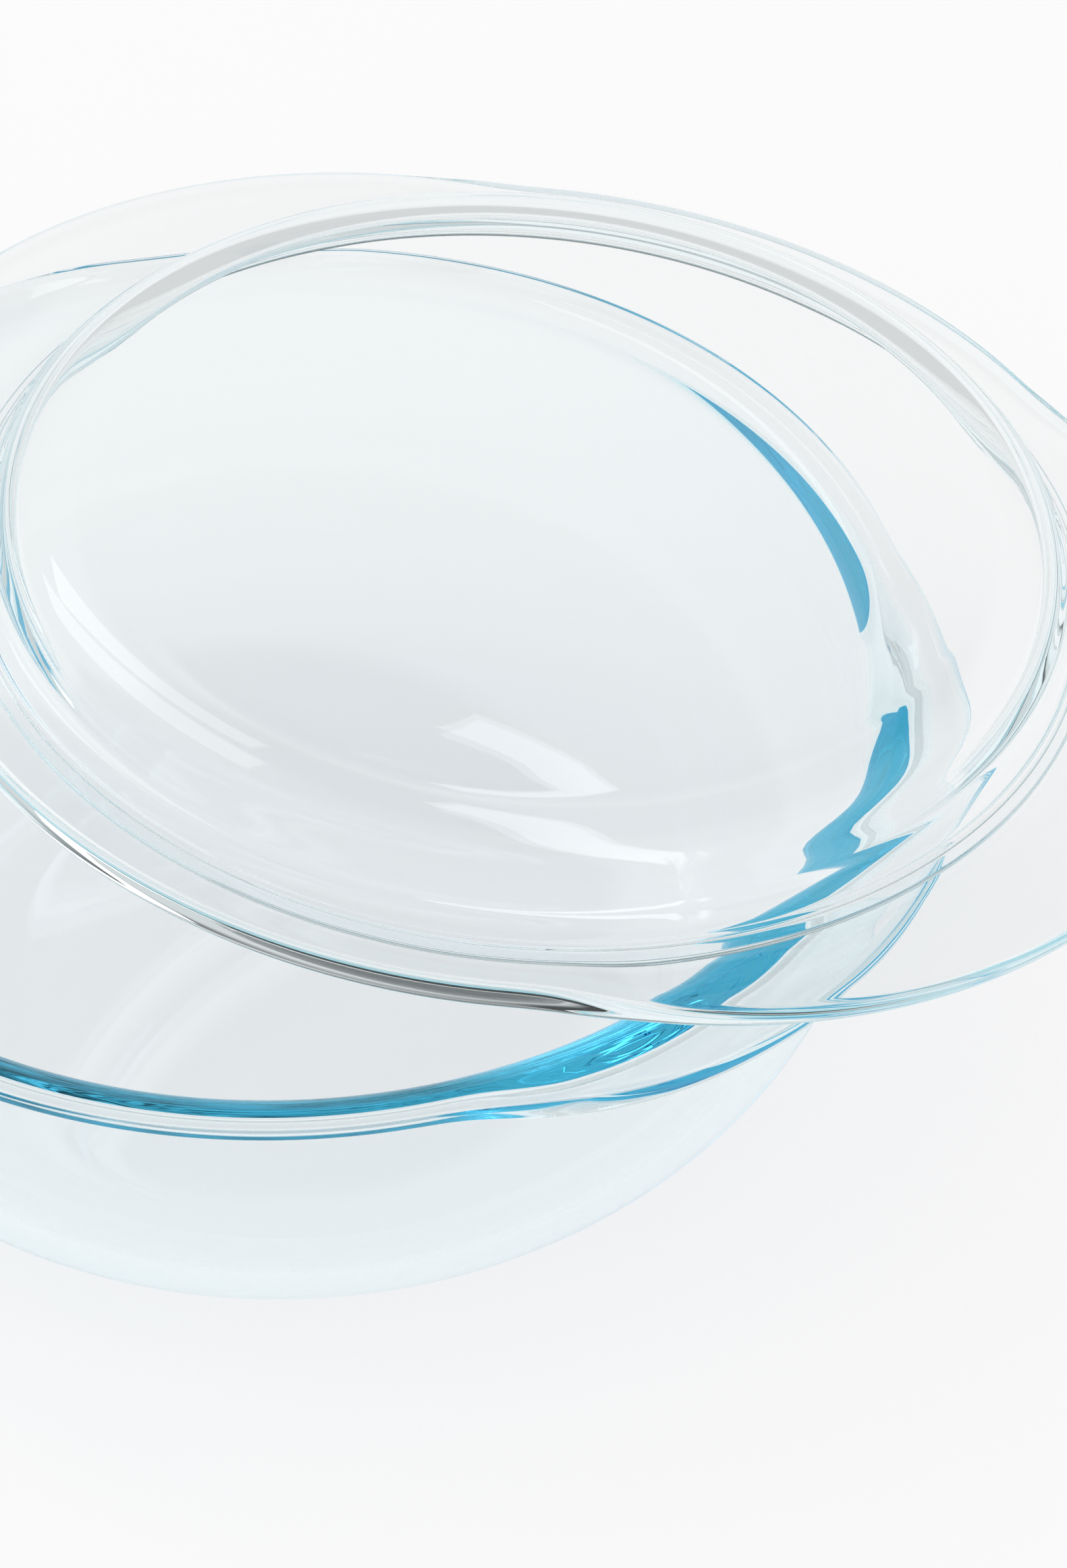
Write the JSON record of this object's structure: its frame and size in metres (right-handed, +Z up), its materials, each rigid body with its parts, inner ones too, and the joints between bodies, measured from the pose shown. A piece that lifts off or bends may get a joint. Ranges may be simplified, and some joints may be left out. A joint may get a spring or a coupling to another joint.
{
  "type": "round glass casserole",
  "caption": "Round clear-glass casserole: deep bowl with a flared rim and two side ears, with an eared shallow dome lid lying askew across it.",
  "frame": {"origin": "centre of the dish's flat base, on the surface it stands on", "axes": "+Z up along the dish's axis; the dish's two ears point along +X and -X; the lid is shifted towards +Y and +X"},
  "size_m": [0.2751, 0.258, 0.1135],
  "materials": {
    "dish_glass": "clear, smooth, sky blue at the rim and ears where the glass is seen edge on",
    "lid_glass": "clear, smooth, pale blue at its edge"
  },
  "bodies": {
    "dish": {"dish": "dish_glass"},
    "lid": {"lid": "lid_glass"}
  },
  "joints": [
    {"name": "lid_lift", "type": "slide", "parent": "dish", "child": "lid", "axis": [0, 0, 1], "range_m": [0, 0.12]}
  ]
}
